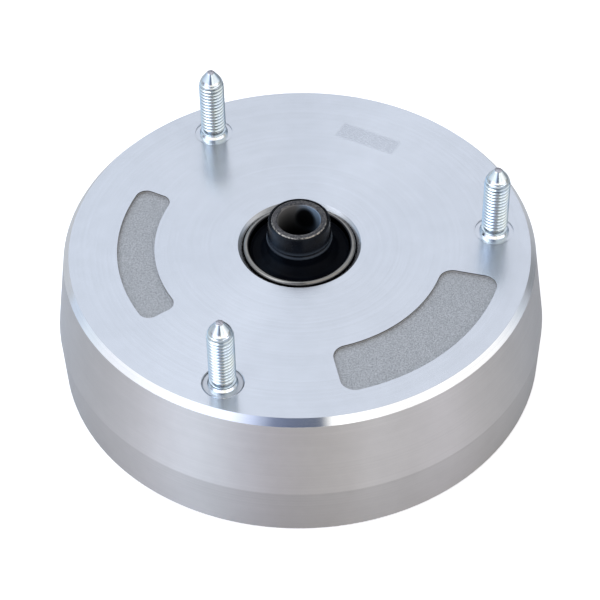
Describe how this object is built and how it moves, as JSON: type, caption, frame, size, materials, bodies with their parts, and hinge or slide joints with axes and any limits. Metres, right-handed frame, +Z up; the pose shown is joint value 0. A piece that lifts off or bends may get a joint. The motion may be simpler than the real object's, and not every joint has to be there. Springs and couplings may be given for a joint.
{
  "type": "strut mount",
  "caption": "Turned aluminium drum that carries upright threaded studs and a rubber-bonded steel sleeve, which holds the top end of a suspension strut's rod.",
  "frame": {"origin": "centre of the rim face that the drum stands on", "axes": "+Z up along the bush, towards the studs; +X towards the right stud"},
  "size_m": [0.1512, 0.1512, 0.07],
  "materials": {
    "housing": "fine turned, bare",
    "stud": "bright zinc plated",
    "can": "bare drawn steel",
    "rubber": "smooth moulded",
    "sleeve": "dark phosphated",
    "spring_steel": "black oiled",
    "seal": "smooth moulded"
  },
  "bodies": {
    "mount": {"housing": "housing", "stud_rear": "stud", "stud_right": "stud", "stud_front": "stud", "bush_can": "can", "bush_rubber": "rubber", "retaining_ring": "spring_steel", "can_seal": "seal", "rim_seal": "seal"},
    "sleeve": {"bush_sleeve": "sleeve"}
  },
  "joints": [
    {"name": "bush_tilt", "type": "hinge", "parent": "mount", "child": "sleeve", "pos_m": [0, 0, 0.03], "axis": [0, 1, 0], "range_deg": [-4, 4], "stiffness_Nm_per_rad": 60, "deforming": ["bush_rubber"]}
  ]
}
